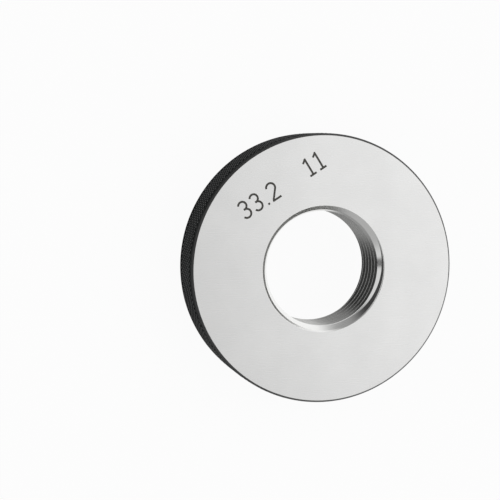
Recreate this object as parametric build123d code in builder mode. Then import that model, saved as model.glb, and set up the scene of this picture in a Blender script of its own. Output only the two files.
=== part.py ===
from build123d import *
from build123d.topology import SkipClean
from math import radians, tan
import os

os.makedirs("parts", exist_ok=True)

# A solid thread ring gauge for the G 1 pipe thread: one hardened steel ring that lies on its
# lower face.  The bore axis is Z and the origin is the middle of the lower face, millimetres.

blank_diameter = 71.0
blank_thickness = 16.0
rim_chamfer = 0.6

# 55 degree pipe thread, eleven turns to the inch, right hand, cut off flat at crest and root
threads_per_inch = 11
thread_major_diameter = 33.249
thread_minor_diameter = 30.291
flank_angle = radians(27.5)

# where the groove comes out at the upper face, in degrees from +X towards +Y
groove_exit_angle = 15

# the bore opens out to just past the thread's major diameter at both faces
mouth_diameter = 33.3

thread_pitch = 25.4 / threads_per_inch
crest_land = thread_pitch / 6

blank_radius = blank_diameter / 2
major_radius = thread_major_diameter / 2
crest_radius = thread_minor_diameter / 2
mouth_radius = mouth_diameter / 2
mouth_depth = mouth_radius - crest_radius

# the groove's section: straight flanks that run a little inside the bore, and a flat root
groove_inner_radius = crest_radius - 0.4
groove_half_width = (thread_pitch - crest_land) / 2
inner_half_width = groove_half_width + (crest_radius - groove_inner_radius) * tan(flank_angle)
root_half_width = groove_half_width - (major_radius - crest_radius) * tan(flank_angle)

# the groove starts over a turn below the lower face and ends a turn above the upper one
turns_to_upper_face = 8 + groove_exit_angle / 360
groove_start = blank_thickness - turns_to_upper_face * thread_pitch
groove_length = (turns_to_upper_face + 1) * thread_pitch

# the reamer that trues the crests, one half turn after the other
reamer_core_radius = 10.0
reamer_overrun = 1.0
half_turn = 180

with BuildPart() as ring_body:
    # the blank, with its rim edges broken and the two mouths of the bore
    with BuildSketch(Plane.XZ) as blank_section:
        with BuildLine():
            Polyline(
                (mouth_radius, 0),
                (blank_radius - rim_chamfer, 0),
                (blank_radius, rim_chamfer),
                (blank_radius, blank_thickness - rim_chamfer),
                (blank_radius - rim_chamfer, blank_thickness),
                (mouth_radius, blank_thickness),
                (crest_radius, blank_thickness - mouth_depth),
                (crest_radius, mouth_depth),
                close=True,
            )
        make_face()
    revolve(axis=Axis.Z)

    # the thread groove, cut right through
    helix = Helix(
        pitch=thread_pitch,
        height=groove_length,
        radius=crest_radius,
        center=(0, 0, groove_start),
        mode=Mode.PRIVATE,
    )
    groove_plane = Plane(origin=(0, 0, groove_start), x_dir=(1, 0, 0), z_dir=(0, -1, 0))
    with BuildSketch(groove_plane) as groove_section:
        with BuildLine():
            Polyline(
                (groove_inner_radius, -inner_half_width),
                (major_radius, -root_half_width),
                (major_radius, root_half_width),
                (groove_inner_radius, inner_half_width),
                close=True,
            )
        make_face()
    sweep(path=helix, is_frenet=True, mode=Mode.SUBTRACT)

    # the crests are trued to the minor diameter a half turn at a time, which leaves the
    # narrow land on the crests in patches of half a turn or less
    with BuildSketch(Plane.YZ) as reamer_section:
        with BuildLine():
            Polyline(
                (reamer_core_radius, -reamer_overrun),
                (crest_radius, -reamer_overrun),
                (crest_radius, blank_thickness + reamer_overrun),
                (reamer_core_radius, blank_thickness + reamer_overrun),
                close=True,
            )
        make_face()
    with SkipClean():
        for side in (1, -1):
            revolve(
                reamer_section.sketch,
                axis=Axis.Z,
                revolution_arc=side * half_turn,
                mode=Mode.SUBTRACT,
            )

ring_body.part.label = "ring_body"
export_step(ring_body.part, "parts/ring_body.step")
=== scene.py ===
from math import cos, radians, sin, tan, tau

import bmesh
import bpy
from mathutils import Matrix, Vector


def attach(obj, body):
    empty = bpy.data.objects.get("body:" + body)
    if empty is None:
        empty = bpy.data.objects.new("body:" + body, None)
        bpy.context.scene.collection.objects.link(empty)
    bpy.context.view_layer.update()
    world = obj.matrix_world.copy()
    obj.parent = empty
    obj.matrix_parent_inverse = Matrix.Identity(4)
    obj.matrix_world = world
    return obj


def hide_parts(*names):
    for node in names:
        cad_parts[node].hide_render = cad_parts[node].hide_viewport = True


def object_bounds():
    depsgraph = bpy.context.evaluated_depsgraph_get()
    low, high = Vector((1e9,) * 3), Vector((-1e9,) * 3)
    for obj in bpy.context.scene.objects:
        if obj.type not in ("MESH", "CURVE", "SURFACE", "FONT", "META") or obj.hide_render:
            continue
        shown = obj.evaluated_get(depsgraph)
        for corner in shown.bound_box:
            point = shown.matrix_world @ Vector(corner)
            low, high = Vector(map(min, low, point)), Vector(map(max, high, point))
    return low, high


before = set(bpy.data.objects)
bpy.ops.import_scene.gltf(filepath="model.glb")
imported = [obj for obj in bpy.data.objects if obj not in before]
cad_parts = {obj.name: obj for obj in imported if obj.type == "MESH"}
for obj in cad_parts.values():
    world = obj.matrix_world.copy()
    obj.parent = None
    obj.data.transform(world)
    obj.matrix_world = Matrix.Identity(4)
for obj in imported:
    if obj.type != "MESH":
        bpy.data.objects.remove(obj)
cad_lowest, cad_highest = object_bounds()

# The ring lies on its lower face on the floor.  Its bore axis is Z, and the marked face looks up.
# The ring's sizes are in millimetres, and MM turns them into the scene's metres.
MM = 0.001
SCENE = bpy.context.scene

# Steps round the ring.  The knurl has one diamond to every two of them.
STEPS_ROUND = 364
COLUMN_ANGLE = tau / STEPS_ROUND

BLANK_RADIUS = round(cad_highest[0] / MM, 2)
THICKNESS = round(cad_highest[2] / MM, 2)
RIM_CHAMFER_WIDTH = 0.6
RIM_CHAMFER_DROP = 0.58
LAND_WIDTH = 1.5
# how far the plain lands and the knurl's tips lie inside the blank's radius
LAND_SINK = 0.09
TIP_SINK = 0.01
FACE_EDGE_RADIUS = BLANK_RADIUS - RIM_CHAMFER_WIDTH
LAND_RADIUS = BLANK_RADIUS - LAND_SINK

# the fine rounds on the edges of the faces and the mouths, and at both edges of a rim chamfer
EDGE_ROUND = 0.03
CHAMFER_EDGE_ROUND = 0.04
LAND_EDGE_RISE = 0.05
# plain rings of face beside the mouths and the rim, which keep the face's shading flat
MOUTH_SURROUND = 0.18
RIM_SURROUND = 0.2

KNURL_ROWS = 11
KNURL_DEPTH = 0.31
KNURL_TOP = THICKNESS - RIM_CHAMFER_DROP - LAND_WIDTH
KNURL_ROW_HEIGHT = (2 * KNURL_TOP - THICKNESS) / KNURL_ROWS
KNURL_TIP_RADIUS = BLANK_RADIUS - TIP_SINK
KNURL_VALLEY_RADIUS = KNURL_TIP_RADIUS - KNURL_DEPTH
# share of each ridge, from its sharp tip down to the valley, that the tip's flat takes off
KNURL_FLAT_SHARE = 0.4
# how far inside the lands' radius a point of the rim may lie and still be the knurl's
KNURL_SLACK = 0.01

# 55 degree pipe thread, eleven turns to the inch
PITCH = 25.4 / 11
CREST_RADIUS = 15.1455
ROOT_RADIUS = 16.6245
HALF_FLANK_ANGLE = radians(27.5)
# in pitches: the height of the thread's sharp form, and the radius of its rounded root
SHARP_FORM_HEIGHT = 0.960491
ROOT_ROUND = 0.137329
# turns from the start of the tap to the marked face, which the groove leaves 15 degrees past +X
GROOVE_EXIT_TURNS = 8 + 15 / 360
# how far the tap's section runs inside the crests
TAP_OVERRUN = 0.24
MOUTH_RADIUS = 16.65


def linked_object(name, data):
    """An object in the scene, at the origin."""
    made = bpy.data.objects.new(name, data)
    SCENE.collection.objects.link(made)
    return made


def object_from_bmesh(name, shape):
    """Makes a bmesh into an object whose faces point outwards."""
    bmesh.ops.recalc_face_normals(shape, faces=shape.faces[:])
    mesh = bpy.data.meshes.new(name)
    shape.to_mesh(mesh)
    shape.free()
    return linked_object(name, mesh)


def finished_mesh(drawn):
    """The mesh that an object shows once its modifiers or its curve's bevel are done."""
    bpy.context.view_layer.update()
    return bpy.data.meshes.new_from_object(drawn.evaluated_get(bpy.context.evaluated_depsgraph_get()))


def cut_away(blank, cutter):
    """Cuts the cutter out of the blank, and scraps it."""
    cut = blank.modifiers.new("cut", "BOOLEAN")
    cut.operation = "DIFFERENCE"
    cut.solver = "EXACT"
    cut.object = cutter
    mesh = finished_mesh(blank)
    blank.modifiers.clear()
    scrap = blank.data
    blank.data = mesh
    bpy.data.meshes.remove(scrap)
    bpy.data.objects.remove(cutter)


# ---------------------------------------------------------------- ring blank

def turned_blank():
    """The lathe-turned blank: plain bore, mouths, faces, rim chamfers, lands and the knurl's rows."""
    # from halfway up the bore, out over the marked face and down to the edge of the upper land
    half_section = [
        (CREST_RADIUS, THICKNESS / 2),
        (CREST_RADIUS, THICKNESS - (MOUTH_RADIUS - CREST_RADIUS)),
        (MOUTH_RADIUS - EDGE_ROUND, THICKNESS - EDGE_ROUND),
        (MOUTH_RADIUS + EDGE_ROUND, THICKNESS),
        (MOUTH_RADIUS + MOUTH_SURROUND, THICKNESS),
        (FACE_EDGE_RADIUS - RIM_SURROUND, THICKNESS),
        (FACE_EDGE_RADIUS - CHAMFER_EDGE_ROUND, THICKNESS),
        (FACE_EDGE_RADIUS + EDGE_ROUND, THICKNESS - EDGE_ROUND),
        (LAND_RADIUS - CHAMFER_EDGE_ROUND, THICKNESS - RIM_CHAMFER_DROP + LAND_EDGE_RISE),
        (LAND_RADIUS, THICKNESS - RIM_CHAMFER_DROP - CHAMFER_EDGE_ROUND),
    ]
    knurl_rows = [(LAND_RADIUS, KNURL_TOP - row * KNURL_ROW_HEIGHT) for row in range(KNURL_ROWS + 1)]
    lower_half = [(radius, THICKNESS - height) for radius, height in reversed(half_section)]
    section = half_section + knurl_rows + lower_half[:-1]

    blank = bmesh.new()
    corners = [blank.verts.new((radius * MM, 0, height * MM)) for radius, height in section]
    edges = [blank.edges.new((a, b)) for a, b in zip(corners, corners[1:] + corners[:1])]
    bmesh.ops.spin(
        blank, geom=corners + edges, cent=(0, 0, 0), axis=(0, 0, 1), dvec=(0, 0, 0),
        angle=tau, steps=STEPS_ROUND, use_merge=True, use_duplicate=False,
    )
    return object_from_bmesh("ring_body_turned", blank)


# -------------------------------------------------------------------- thread

def thread_tap():
    """The coil of metal that the groove takes out, from below the lower face to above the upper one."""
    steps_a_turn = STEPS_ROUND // 2
    steps = round((GROOVE_EXIT_TURNS + 1) * steps_a_turn)
    sharp_root_radius = ROOT_RADIUS + PITCH * SHARP_FORM_HEIGHT / 6
    inner_radius = CREST_RADIUS - TAP_OVERRUN
    half_width = (sharp_root_radius - inner_radius) * tan(HALF_FLANK_ANGLE)
    start = THICKNESS - GROOVE_EXIT_TURNS * PITCH

    coil = bmesh.new()
    root = coil.verts.new((sharp_root_radius * MM, 0, start * MM))
    upper = coil.verts.new((inner_radius * MM, 0, (start + half_width) * MM))
    lower = coil.verts.new((inner_radius * MM, 0, (start - half_width) * MM))
    coil.faces.new((root, upper, lower))
    # the root is rounded to the thread form's radius
    bmesh.ops.bevel(
        coil, geom=[root], offset=ROOT_ROUND * PITCH * MM / tan(HALF_FLANK_ANGLE),
        offset_type="OFFSET", affect="VERTICES", segments=6, profile=0.5, material=-1,
    )
    bmesh.ops.spin(
        coil, geom=coil.verts[:] + coil.edges[:], cent=(0, 0, 0), axis=(0, 0, 1),
        dvec=(0, 0, PITCH / steps_a_turn * MM), angle=tau * steps / steps_a_turn,
        steps=steps, use_merge=False, use_duplicate=False,
    )
    open_end = [edge for edge in coil.edges if edge.is_boundary]
    bmesh.ops.holes_fill(coil, edges=open_end, sides=0)
    return object_from_bmesh("thread_tap", coil)


# ------------------------------------------------------------------- figures

FIGURE_STROKE = 0.54
FIGURE_DEPTH = 0.07
# how the baseline is turned on the face, and how far from the bore's axis it runs
FIGURE_SLOPE = radians(32.4)
FIGURE_BASELINE = 22.55
# each group of figures, and where it starts along the baseline
FIGURE_GROUPS = (("33.2", -10.75), ("11", 9.35))
FIGURE_ADVANCE = {"1": 3.15, "2": 3.55, "3": 3.55, ".": 1.65}
# points of a stroke nearer to each other than this are one
FIGURE_JOIN = 0.001


def arc(centre_x, centre_y, radius, first, last, pieces=18):
    """Points along an arc, from the first angle to the last, in degrees."""
    angles = [radians(first + (last - first) * step / pieces) for step in range(pieces + 1)]
    return [(centre_x + radius * cos(angle), centre_y + radius * sin(angle)) for angle in angles]


# The strokes of each figure, in millimetres from its lower left corner.  Strokes in the first
# list don't touch each other, and those in the second cross them.
FIGURES = {
    "1": ([[(1.35, -0.27), (1.35, 4.77)]], [[(0.35, 0), (2.35, 0)], [(0.35, 3.75), (1.5, 4.6)]]),
    "2": ([arc(1.15, 3.3, 1.2, 165, -38) + [(0.1, 0.12)]], [[(-0.12, 0), (2.5, 0)]]),
    "3": ([arc(1.1, 3.4, 1.1, 155, -100)], [arc(1.1, 1.18, 1.18, 100, -155)]),
    ".": ([[(0.02, 0), (0.56, 0)]], []),
}


def figure_cutter(layer):
    """The round-nosed strokes of one layer of all the figures, laid on the marked face."""
    strokes = bpy.data.curves.new("figure_strokes", "CURVE")
    strokes.dimensions = "3D"
    strokes.bevel_depth = FIGURE_STROKE / 2
    strokes.bevel_resolution = 3
    strokes.use_fill_caps = True
    for text, start in FIGURE_GROUPS:
        across = start
        for figure in text:
            for points in FIGURES[figure][layer]:
                spline = strokes.splines.new("POLY")
                spline.points.add(len(points) - 1)
                for point, (x, y) in zip(spline.points, points):
                    point.co = (across + x, y, 0, 1)
            across += FIGURE_ADVANCE[figure]
    drawn = linked_object("figure_strokes", strokes)
    mesh = finished_mesh(drawn)
    bpy.data.objects.remove(drawn)

    cutter = bmesh.new()
    cutter.from_mesh(mesh)
    bpy.data.meshes.remove(mesh)
    bmesh.ops.remove_doubles(cutter, verts=cutter.verts[:], dist=FIGURE_JOIN)
    place = (
        Matrix.Translation((0, 0, THICKNESS * MM))
        @ Matrix.Rotation(FIGURE_SLOPE, 4, "Z")
        @ Matrix.Translation((0, FIGURE_BASELINE * MM, 0))
        @ Matrix.Diagonal((MM, MM, MM * FIGURE_DEPTH / (FIGURE_STROKE / 2), 1))
    )
    bmesh.ops.transform(cutter, matrix=place, verts=cutter.verts[:])
    return object_from_bmesh("figure_cutter", cutter)


# --------------------------------------------------------------------- knurl

def knurl(ring):
    """Rolls the diamond knurl into the rim between the two plain lands.

    Every other point of the rim's rows becomes a tip, the rest become valleys, and each row's tips
    lie between those of the next.  The points of the two edge rows stay at the lands' radius.
    """
    rim = bmesh.new()
    rim.from_mesh(ring.data)
    tips, valleys, edge_row = [], [], []
    for vertex in rim.verts:
        place = vertex.co / MM
        row = round((KNURL_TOP - place.z) / KNURL_ROW_HEIGHT)
        if place.xy.length < LAND_RADIUS - KNURL_SLACK or not 0 <= row <= KNURL_ROWS:
            continue
        column = round(place.xy.angle_signed(Vector((1, 0))) / COLUMN_ANGLE)
        on_tip = (column + row) % 2 == 0
        if row in (0, KNURL_ROWS):
            if not on_tip:
                edge_row.append(vertex)
        else:
            (tips if on_tip else valleys).append(vertex)
    sharp_height = KNURL_DEPTH / (1 - KNURL_FLAT_SHARE)
    for group, radius in ((tips, KNURL_VALLEY_RADIUS + sharp_height), (valleys, KNURL_VALLEY_RADIUS)):
        bmesh.ops.scale(rim, vec=(radius / LAND_RADIUS, radius / LAND_RADIUS, 1), verts=group)
    bmesh.ops.connect_verts(rim, verts=valleys + edge_row)
    bmesh.ops.bevel(
        rim, geom=tips, offset=KNURL_FLAT_SHARE * 100, offset_type="PERCENT", affect="VERTICES",
        segments=1, profile=0.5, material=-1,
    )
    # beside the lands the flats are cut higher, so they are brought down to the others
    for vertex in rim.verts:
        proud = vertex.co.xy.length / (KNURL_TIP_RADIUS * MM)
        if proud > 1:
            vertex.co.xy /= proud
    rim.to_mesh(ring.data)
    rim.free()


# ------------------------------------------------------------------ finishes

class NodeSheet:
    """The nodes of one finish, or of the light round the ring, and the ways to add to them."""

    def __init__(self, owner):
        owner.use_nodes = True
        self.owner = owner
        self.nodes = owner.node_tree.nodes
        self.links = owner.node_tree.links

    def feed(self, socket, value):
        """Links a node's output to the socket, or sets the socket to a plain value."""
        if isinstance(value, bpy.types.NodeSocket):
            self.links.new(value, socket)
        else:
            socket.default_value = value

    def add(self, kind, settings=None, **inputs):
        """A node whose inputs are given by their names, with underscores for spaces."""
        made = self.nodes.new("ShaderNode" + kind)
        for name, value in (settings or {}).items():
            setattr(made, name, value)
        for name, value in inputs.items():
            self.feed(made.inputs[name.replace("_", " ")], value)
        return made

    def noise(self, place, scale, detail=3.0, roughness=0.6):
        """A cloudy pattern of a given fineness."""
        made = self.add("TexNoise", Vector=place, Scale=scale, Detail=detail, Roughness=roughness)
        return made.outputs["Fac"]

    def remap(self, value, low, high, to_low=0.0, to_high=1.0, easing="LINEAR"):
        """The value taken from one range to another, and kept within that one."""
        made = self.add(
            "MapRange", {"interpolation_type": easing},
            Value=value, From_Min=low, From_Max=high, To_Min=to_low, To_Max=to_high,
        )
        return made.outputs["Result"]

    def calculate(self, operation, *values):
        """A sum on numbers, each one a node's output or a plain value."""
        made = self.add("Math", {"operation": operation})
        for socket, value in zip(made.inputs, values):
            self.feed(socket, value)
        return made.outputs[0]

    def calculate_vector(self, operation, *values):
        """A sum on directions, which gives a number for a dot product or a length."""
        made = self.add("VectorMath", {"operation": operation})
        for socket, value in zip(made.inputs, values):
            self.feed(socket, value)
        return made.outputs["Value" if operation in ("DOT_PRODUCT", "LENGTH") else "Vector"]

    def blend(self, share, first, second):
        """The first colour, turning into the second one as the share goes from 0 to 1."""
        made = self.add("Mix", {"data_type": "RGBA"}, Factor=share)
        named = {socket.identifier: socket for socket in made.inputs}
        for name, colour in (("A_Color", first), ("B_Color", second)):
            self.feed(named[name], (*colour, 1) if isinstance(colour, tuple) else colour)
        return next(socket for socket in made.outputs if socket.identifier == "Result_Color")


# nearly all of a noise lies between these two
NOISE_LOW = 0.3
NOISE_HIGH = 0.7
# how far the turning marks' noise moves on for each radian round the bore: little, so they are long
MARK_ADVANCE = 0.002


class Finish(NodeSheet):
    """A finish: the material, its shader, and where on the piece each point lies."""

    def __init__(self, name, **shader_inputs):
        super().__init__(bpy.data.materials.new(name))
        self.shader = self.nodes["Principled BSDF"]
        self.set_shader(**shader_inputs)
        self.place = self.add("TexCoord").outputs["Object"]

    def set_shader(self, **inputs):
        """Feeds the shader's inputs, given by their names with underscores for spaces."""
        for name, value in inputs.items():
            self.feed(self.shader.inputs[name.replace("_", " ")], value)

    def mottle(self, pattern, darker, lighter):
        """A colour that drifts between a darker and a lighter one with the pattern."""
        return self.blend(self.spread(pattern, 0.0, 1.0), darker, lighter)

    def spread(self, pattern, lowest, highest):
        """A number that drifts between two others with the pattern."""
        return self.remap(pattern, NOISE_LOW, NOISE_HIGH, lowest, highest)

    def bump(self, height, strength, distance):
        """Raises the surface with the pattern."""
        made = self.add("Bump", Strength=strength, Distance=distance, Height=height)
        self.set_shader(Normal=made.outputs["Normal"])

    def along_axes(self):
        """A point's place along each of the three axes."""
        return self.add("SeparateXYZ", Vector=self.place).outputs

    def axis_distance(self):
        """How far a point is from the bore's axis."""
        x, y, z = self.along_axes()
        squares = self.calculate("MULTIPLY_ADD", y, y, self.calculate("MULTIPLY", x, x))
        return self.calculate("SQRT", squares)

    def turning_marks(self, scale, roughness):
        """Noise drawn out into fine rings round the bore, as a lathe or a lap leaves them."""
        x, y, z = self.along_axes()
        way_round = self.calculate("MULTIPLY", self.calculate("ARCTAN2", y, x), MARK_ADVANCE)
        rings = self.add("CombineXYZ", X=self.axis_distance(), Y=way_round, Z=z)
        return self.noise(rings.outputs[0], scale, 2.0, roughness)


# the direction of the grinding marks on the faces, and how fine they are along and across it
GRINDING_TURN = (0, 0, radians(24))
GRINDING_SCALE = (90, 9000, 1)


def ground_face_steel():
    """Hardened steel, surface ground: bright, with very fine straight grinding marks."""
    finish = Finish("ground_face_steel", Metallic=1.0)
    drawn_out = finish.add(
        "Mapping", Vector=finish.place, Rotation=GRINDING_TURN, Scale=GRINDING_SCALE
    )
    marks = finish.noise(drawn_out.outputs["Vector"], 1.0, 2.0, 0.5)
    clouds = finish.noise(finish.place, 90, 3.0, 0.55)
    shade = finish.mottle(clouds, (0.793, 0.793, 0.788), (0.835, 0.835, 0.829))
    finish.set_shader(Base_Color=shade, Roughness=finish.spread(marks, 0.273, 0.277))
    finish.bump(marks, 0.004, 0.000002)
    return finish.owner


# the bore steel's colour near the marked face, where the painted shade of the bore has faded out
UNSHADED_BORE_STEEL = (0.83, 0.83, 0.82)
# heights between which the painted shade deep in the bore fades out, so the bore's steel brightens
# towards the marked face
BORE_SHADE_FADE_START = 12.2
BORE_SHADE_FADE_END = 14.2
DULL_CREST_STEEL = (0.28, 0.28, 0.275)
DULL_CREST_ROUGHNESS = 0.4
# radii between which the dull crest gives way to the brighter flank
CREST_EDGE = 15.155
FLANK_EDGE = 15.175


def bore_steel(name, darker, lighter, smoothest, roughest):
    """Lapped steel with fine rings round the bore, duller on the flat crests of the thread. Deep in the
    bore its colour is painted darker, a painted shade which fades out towards the marked face.
    """
    finish = Finish(name, Metallic=1.0)
    marks = finish.turning_marks(9000, 0.6)
    # the darker colour deep in the bore is a painted shade
    deep = finish.mottle(finish.noise(finish.place, 300), darker, lighter)
    near_mouth = finish.remap(finish.along_axes()["Z"], BORE_SHADE_FADE_START * MM, BORE_SHADE_FADE_END * MM)
    shade = finish.blend(near_mouth, deep, UNSHADED_BORE_STEEL)
    on_crest = finish.remap(finish.axis_distance(), CREST_EDGE * MM, FLANK_EDGE * MM, 1.0, 0.0)
    # the crests are less dull towards the marked face, where the painted shade of the bore fades out
    dull = finish.calculate("MULTIPLY", on_crest, finish.remap(near_mouth, 0.2, 0.7, 1.0, 0.0))
    lapped = finish.spread(marks, smoothest, roughest)
    finish.set_shader(
        Base_Color=finish.blend(dull, shade, DULL_CREST_STEEL),
        Roughness=finish.calculate("MULTIPLY_ADD", dull, DULL_CREST_ROUGHNESS, lapped),
    )
    finish.bump(marks, 0.15, 0.000003)
    return finish.owner


def thread_steel():
    """The lapped flanks, roots and crests of the thread. Deep in the bore their colour is darker than
    the faces' steel, a painted shade.
    """
    return bore_steel("thread_steel", (0.56, 0.56, 0.55), (0.62, 0.62, 0.61), 0.15, 0.21)


def mouth_steel():
    """The mouths' cones: lapped smoother than the thread, and brighter, with less painted shade on
    their colour.
    """
    return bore_steel("mouth_steel", (0.74, 0.74, 0.73), (0.79, 0.79, 0.78), 0.12, 0.18)


RUBBED_STEEL = (0.2, 0.2, 0.2)
# how far inside the tips' radius the rubbing starts and is full
RUB_DEPTH = 0.07
RUB_FULL_DEPTH = 0.01


def blackened_rim_steel():
    """Chemically blackened steel, rubbed brighter on the flat tips of the knurl."""
    finish = Finish("blackened_rim_steel", Metallic=1.0, Specular_Tint=(0.38, 0.38, 0.38, 1))
    grain = finish.noise(finish.place, 2500)
    patches = finish.noise(finish.place, 160, 3.0, 0.55)
    black = finish.mottle(patches, (0.016, 0.017, 0.017), (0.026, 0.027, 0.027))
    rub_start = (KNURL_TIP_RADIUS - RUB_DEPTH) * MM
    rub_end = (KNURL_TIP_RADIUS - RUB_FULL_DEPTH) * MM
    on_tips = finish.remap(finish.axis_distance(), rub_start, rub_end)
    rubbed = finish.calculate("MULTIPLY", on_tips, finish.remap(grain, 0.35, 0.65, 0.3, 0.8))
    finish.set_shader(
        Base_Color=finish.blend(rubbed, black, RUBBED_STEEL), Roughness=finish.spread(grain, 0.42, 0.58)
    )
    finish.bump(grain, 0.25, 0.00002)
    return finish.owner


def blackened_edge_steel():
    """The blackened chamfers: turned smooth, so a little glossier than the rim."""
    finish = Finish("blackened_edge_steel")
    marks = finish.turning_marks(12000, 0.5)
    patches = finish.noise(finish.place, 200, 3.0, 0.55)
    shade = finish.mottle(patches, (0.012, 0.0125, 0.0125), (0.022, 0.0225, 0.0225))
    finish.set_shader(Base_Color=shade, Roughness=finish.spread(marks, 0.32, 0.42))
    finish.bump(marks, 0.1, 0.000004)
    return finish.owner


def etched_figure_steel():
    """The floor of the figures and the marked face's fine outer edge: etched dark, slightly rough."""
    finish = Finish("etched_figure_steel", Metallic=0.4)
    grain = finish.noise(finish.place, 4000)
    shade = finish.mottle(grain, (0.06, 0.058, 0.052), (0.12, 0.115, 0.105))
    finish.set_shader(Base_Color=shade, Roughness=finish.spread(grain, 0.5, 0.7))
    finish.bump(grain, 0.4, 0.00001)
    return finish.owner


FINISHES = (
    ground_face_steel, thread_steel, mouth_steel,
    blackened_rim_steel, etched_figure_steel, blackened_edge_steel,
)

# How far a face leans is the height of its normal: 1 on a level face and 0 on an upright wall.
LEVEL_LEAN = 0.9999
CHAMFER_LEAST_LEAN = 0.5
CONE_LEAN = cos(radians(45))
CONE_LEAN_SLACK = 0.02
# a face that lies this little under the marked face is level with it
FIGURE_SLACK = 0.0005
# edges shorter than this many metres are closed up
SHORTEST_EDGE = 0.0000001
# edges that turn less than this are shaded smooth
SMOOTH_CORNER = radians(14)


def finish_of(polygon):
    """The finish that a face of the ring has, by where it lies and how it leans."""
    centre = polygon.calc_center_median() / MM
    radius = centre.xy.length
    lean = abs(polygon.normal.z)
    if radius > FACE_EDGE_RADIUS:
        return blackened_edge_steel if lean > CHAMFER_LEAST_LEAN else blackened_rim_steel
    if radius < MOUTH_RADIUS + EDGE_ROUND:
        on_cone = abs(lean - CONE_LEAN) < CONE_LEAN_SLACK
        at_face = min(centre.z, THICKNESS - centre.z) < EDGE_ROUND
        return mouth_steel if on_cone or at_face else thread_steel
    etched = FIGURE_SLACK < THICKNESS - centre.z < FIGURE_DEPTH + FIGURE_SLACK
    return etched_figure_steel if etched else ground_face_steel


def finish_faces(ring):
    """Gives each face its finish, and splits the shading at true corners only."""
    for finish in FINISHES:
        ring.data.materials.append(finish())
    shape = bmesh.new()
    shape.from_mesh(ring.data)
    bmesh.ops.dissolve_degenerate(shape, dist=SHORTEST_EDGE, edges=shape.edges[:])
    shape.normal_update()
    for polygon in shape.faces:
        polygon.material_index = FINISHES.index(finish_of(polygon))
        polygon.smooth = abs(polygon.normal.z) < LEVEL_LEAN
    for edge in shape.edges:
        edge.smooth = len(edge.link_faces) != 2 or edge.calc_face_angle(0) < SMOOTH_CORNER
    shape.to_mesh(ring.data)
    shape.free()


ring = turned_blank()
cut_away(ring, figure_cutter(0))
cut_away(ring, figure_cutter(1))
cut_away(ring, thread_tap())
knurl(ring)
finish_faces(ring)
ring.name = ring.data.name = "ring_body_dressed"
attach(ring, "root")
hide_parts("ring_body")


# -------------------------------------------------------------------- studio

# The studio's sizes and places are in metres.
FLOOR_HALF_WIDTH = 1.5
FLOOR_DROP = 0.00002
# how much of the floor's look is plain white, and the rest takes the ring's shadow
FLOOR_WHITE_SHARE = 0.95


def studio_floor():
    """Pale paper under the ring."""
    shape = bmesh.new()
    bmesh.ops.create_grid(shape, x_segments=1, y_segments=1, size=FLOOR_HALF_WIDTH)
    bmesh.ops.translate(shape, vec=(0, 0, -FLOOR_DROP), verts=shape.verts[:])
    floor = object_from_bmesh("studio_floor", shape)
    paper = Finish(
        "pale_paper", Base_Color=(0.86, 0.86, 0.86, 1), Roughness=0.9, Specular_IOR_Level=0.0
    )
    rays = paper.add("LightPath").outputs
    seen = paper.calculate("MAXIMUM", rays["Is Camera Ray"], rays["Is Glossy Ray"])
    seen = paper.calculate("MAXIMUM", seen, rays["Is Transmission Ray"])
    glow = paper.add("Emission", Color=(1, 1, 1, 1), Strength=1.0)
    mixed = paper.add("MixShader")
    paper.feed(mixed.inputs[0], paper.calculate("MULTIPLY", seen, FLOOR_WHITE_SHARE))
    paper.feed(mixed.inputs[1], paper.shader.outputs[0])
    paper.feed(mixed.inputs[2], glow.outputs[0])
    paper.feed(paper.nodes["Material Output"].inputs["Surface"], mixed.outputs[0])
    floor.data.materials.append(paper.owner)


# Each part of the tent is the direction of its middle, and how many degrees from there it has
# faded out and is full.  The bright panels also have their brightness and how they fade.
TENT_LEVEL = 0.35
TENT_PANELS = (
    ((0.62, 0.15, 0.77), 49, 18, 0.55, "LINEAR"),
    ((-0.93, 0.16, 0.33), 48, 15, 0.42, "SMOOTHSTEP"),
    ((0.70, 0.70, 0.12), 52, 24, 0.68, "SMOOTHSTEP"),
    ((-0.60, -0.79, 0.08), 50, 22, 0.14, "SMOOTHSTEP"),
)
# the wall on the right, in two overlapping stretches
WALL_STRETCHES = (((0.72, -0.60, 0.35), 42, 31), ((0.95, 0.10, 0.30), 34, 20))
WALL_LEVEL = 0.85
BRIGHTEST_LEVEL = 1.08

# the narrow dark gap between two panels, on the left
GAP = ((-0.927, -0.194, 0.320), 7, 3)
GAP_DEPTH = 0.9

# the dark opening high on the left: how it is turned, its middle, its size, and the shares of
# that size at which it has faded out and is full
OPENING_TURN = radians(35)
OPENING_MIDDLE = (0, 0.12, 0)
OPENING_SIZE = (0.45, 0.75)
OPENING_FADE = (1.05, 0.55)
OPENING_DEPTH = 0.915
# the part of the tent in which the opening is a little less dark
LESS_DARK = ((0, -1, 0), 75.5, 73)
LESS_DARK_LEVEL = 0.08

LAMP_PLACE = Vector((0.8, 0.1, 1.3))
LAMP_SIZE = 1.2
LAMP_POWER = 0.7


def toward(sheet, direction, centre, outer, inner, easing="SMOOTHSTEP"):
    """1 where a ray points within inner degrees of centre, falling to 0 at outer degrees."""
    dot = sheet.calculate_vector("DOT_PRODUCT", direction, Vector(centre).normalized())
    return sheet.remap(dot, cos(radians(outer)), cos(radians(inner)), easing=easing)


def tent_opening(sheet, direction):
    """1 inside the long opening high on the tent's left side, 0 outside it."""
    turned = sheet.add(
        "VectorRotate", {"rotation_type": "Y_AXIS"}, Vector=direction, Angle=OPENING_TURN
    )
    centred = sheet.calculate_vector("SUBTRACT", turned.outputs[0], OPENING_MIDDLE)
    width, length = OPENING_SIZE
    sized = sheet.calculate_vector("MULTIPLY", centred, (1 / width, 1 / length, 0))
    return sheet.remap(sheet.calculate_vector("LENGTH", sized), *OPENING_FADE, easing="SMOOTHSTEP")


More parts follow.
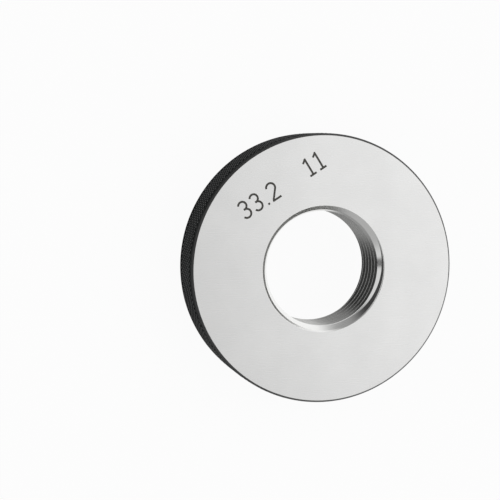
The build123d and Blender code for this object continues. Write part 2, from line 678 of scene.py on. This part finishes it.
def studio_light():
    """A soft white tent with bright panels, a wall, a dark opening and a gap, and one soft lamp."""
    world = bpy.data.worlds.new("white_tent")
    SCENE.world = world
    tent = NodeSheet(world)
    direction = tent.add("TexCoord").outputs["Generated"]
    level = TENT_LEVEL
    for centre, outer, inner, strength, easing in TENT_PANELS:
        panel = toward(tent, direction, centre, outer, inner, easing)
        level = tent.calculate("MULTIPLY_ADD", panel, strength, level)
    stretches = [toward(tent, direction, *stretch) for stretch in WALL_STRETCHES]
    wall = tent.calculate("MAXIMUM", *stretches)
    level = tent.calculate("MULTIPLY_ADD", wall, WALL_LEVEL, level)
    level = tent.calculate("MINIMUM", level, BRIGHTEST_LEVEL)

    less_dark = toward(tent, direction, *LESS_DARK)
    loss = tent.calculate("MULTIPLY_ADD", less_dark, LESS_DARK_LEVEL, -OPENING_DEPTH)
    opening = tent.calculate("MULTIPLY_ADD", tent_opening(tent, direction), loss, 1.0)
    gap = tent.calculate("MULTIPLY_ADD", toward(tent, direction, *GAP), -GAP_DEPTH, 1.0)
    level = tent.calculate("MULTIPLY", tent.calculate("MULTIPLY", level, opening), gap)

    # seen straight by the camera, the tent is plain white
    shown = tent.add("Mix", {"data_type": "FLOAT"})
    tent.feed(shown.inputs[0], tent.add("LightPath").outputs["Is Camera Ray"])
    tent.feed(shown.inputs[2], level)
    tent.feed(shown.inputs[3], 1.0)
    background = tent.nodes["Background"]
    tent.feed(background.inputs["Strength"], shown.outputs[0])
    tent.feed(background.inputs["Color"], (1, 1, 1, 1))

    lamp = bpy.data.lights.new("soft_box", "AREA")
    lamp.shape = "SQUARE"
    lamp.size = LAMP_SIZE
    lamp.energy = LAMP_POWER
    holder = linked_object("soft_box", lamp)
    turned = LAMP_PLACE.to_track_quat("Z", "Y").to_matrix().to_4x4()
    holder.matrix_world = Matrix.Translation(LAMP_PLACE) @ turned


# The camera looks straight down before it is turned, first about X and then about Y.
CAMERA_PLACE = (-0.09767, 0.03310, 0.32879)
CAMERA_TURN_X = radians(-4.912)
CAMERA_TURN_Y = radians(-13.94)


def studio_camera():
    """The camera, which looks down on the marked face from a little to the left."""
    lens = bpy.data.cameras.new("studio_camera")
    lens.sensor_width = 36.0
    lens.lens = 90.44
    lens.clip_start = 0.01
    lens.clip_end = 20.0
    camera = linked_object("studio_camera", lens)
    turned = Matrix.Rotation(CAMERA_TURN_Y, 4, "Y") @ Matrix.Rotation(CAMERA_TURN_X, 4, "X")
    camera.matrix_world = Matrix.Translation(CAMERA_PLACE) @ turned
    SCENE.camera = camera


studio_floor()
studio_light()
studio_camera()
SCENE.view_settings.view_transform = "Standard"
